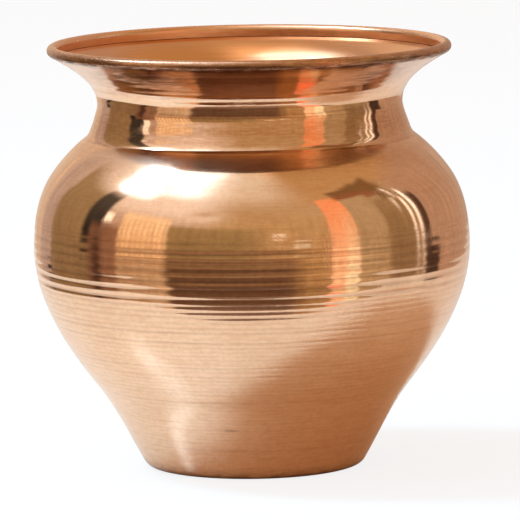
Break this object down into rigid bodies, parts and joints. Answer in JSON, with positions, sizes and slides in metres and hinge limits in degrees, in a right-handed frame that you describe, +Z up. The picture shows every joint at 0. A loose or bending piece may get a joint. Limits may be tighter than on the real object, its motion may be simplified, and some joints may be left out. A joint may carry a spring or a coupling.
{
  "type": "kalash pot",
  "caption": "Copper kalash water pot with a full belly, creased neck, wide flared mouth and wired rolled rim, standing on a small flat foot.",
  "frame": {"origin": "centre of the foot, on the surface that the pot stands on", "axes": "+Z up along the turning axis, out of the mouth; the pot is round, so +X and +Y are free"},
  "size_m": [0.113, 0.113, 0.11],
  "materials": {
    "brushed_copper": "bare copper, satin from the spinning tool, with fine rings round the wall",
    "polished_copper": "bare copper, buffed to a mirror",
    "wire_copper": "bare drawn copper wire",
    "brazing_metal": "bare brass brazing metal, as flowed"
  },
  "bodies": {
    "root": {"lower_bowl": "brushed_copper", "upper_shell": "polished_copper", "rim_wire": "wire_copper", "seam_braze": "brazing_metal"}
  },
  "joints": []
}
